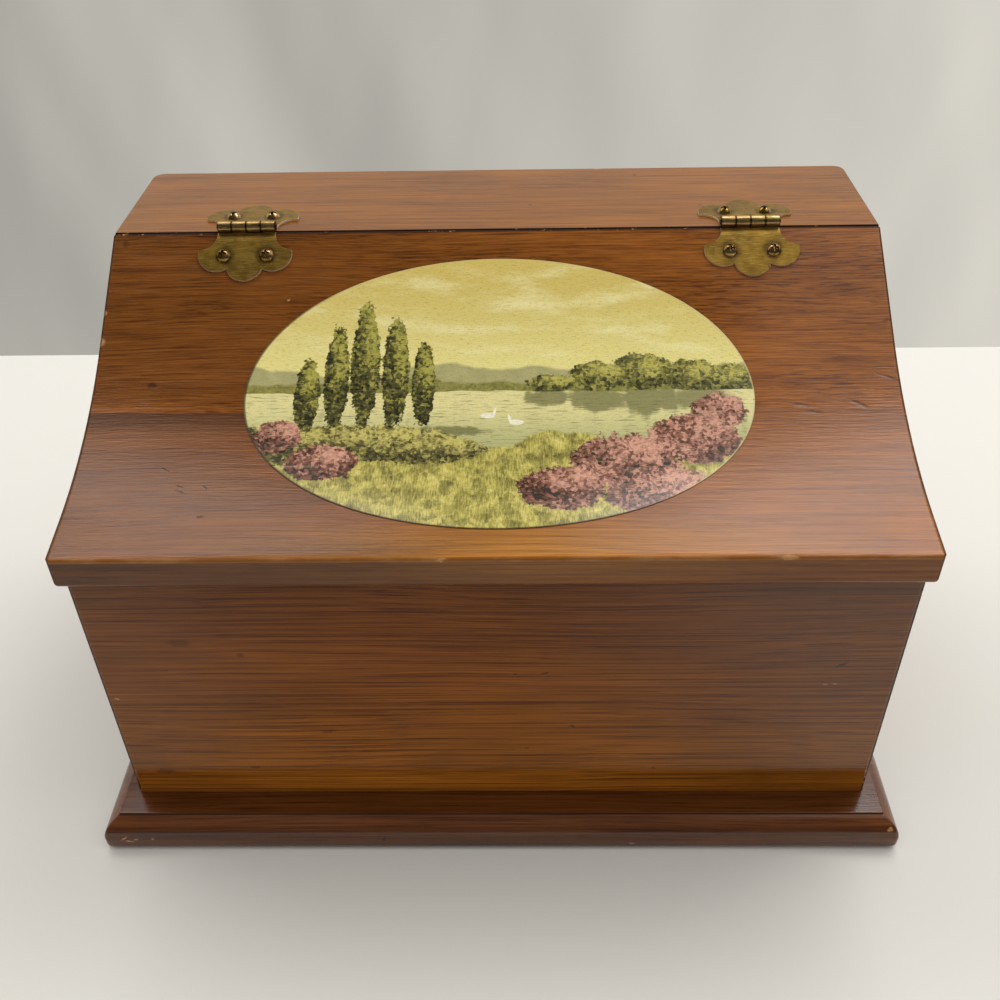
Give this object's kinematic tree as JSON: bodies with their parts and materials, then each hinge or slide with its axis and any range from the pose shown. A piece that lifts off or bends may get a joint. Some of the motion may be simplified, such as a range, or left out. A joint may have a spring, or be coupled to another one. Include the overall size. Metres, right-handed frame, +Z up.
{
  "type": "wooden keepsake box",
  "caption": "Wooden keepsake box: moulded base board, narrow top board and a swept lid with an oval print, hung on scalloped brass hinges.",
  "frame": {"origin": "centre of the base board's underside", "axes": "+X to the right seen from the front, +Y from the front to the back, +Z up"},
  "size_m": [0.3348, 0.229, 0.2175],
  "materials": {
    "stained_wood": "satin varnish",
    "brass": "aged",
    "varnished_print": "gloss varnish"
  },
  "bodies": {
    "box": {"base_board": "stained_wood", "front_board": "stained_wood", "left_side_board": "stained_wood", "right_side_board": "stained_wood", "back_board": "stained_wood", "top_board": "stained_wood", "hinge_top_screws": "brass", "left_hinge_top_leaf": "brass", "left_hinge_pin": "brass", "right_hinge_top_leaf": "brass", "right_hinge_pin": "brass"},
    "lid": {"lid_panel": "stained_wood", "oval_print": "varnished_print", "hinge_lid_screws": "brass", "left_hinge_lid_leaf": "brass", "right_hinge_lid_leaf": "brass"}
  },
  "joints": [
    {"name": "lid_hinge", "type": "hinge", "parent": "box", "child": "lid", "pos_m": [0, 0.03395, 0.2152], "axis": [-1, 0, 0], "range_deg": [0, 200]}
  ]
}
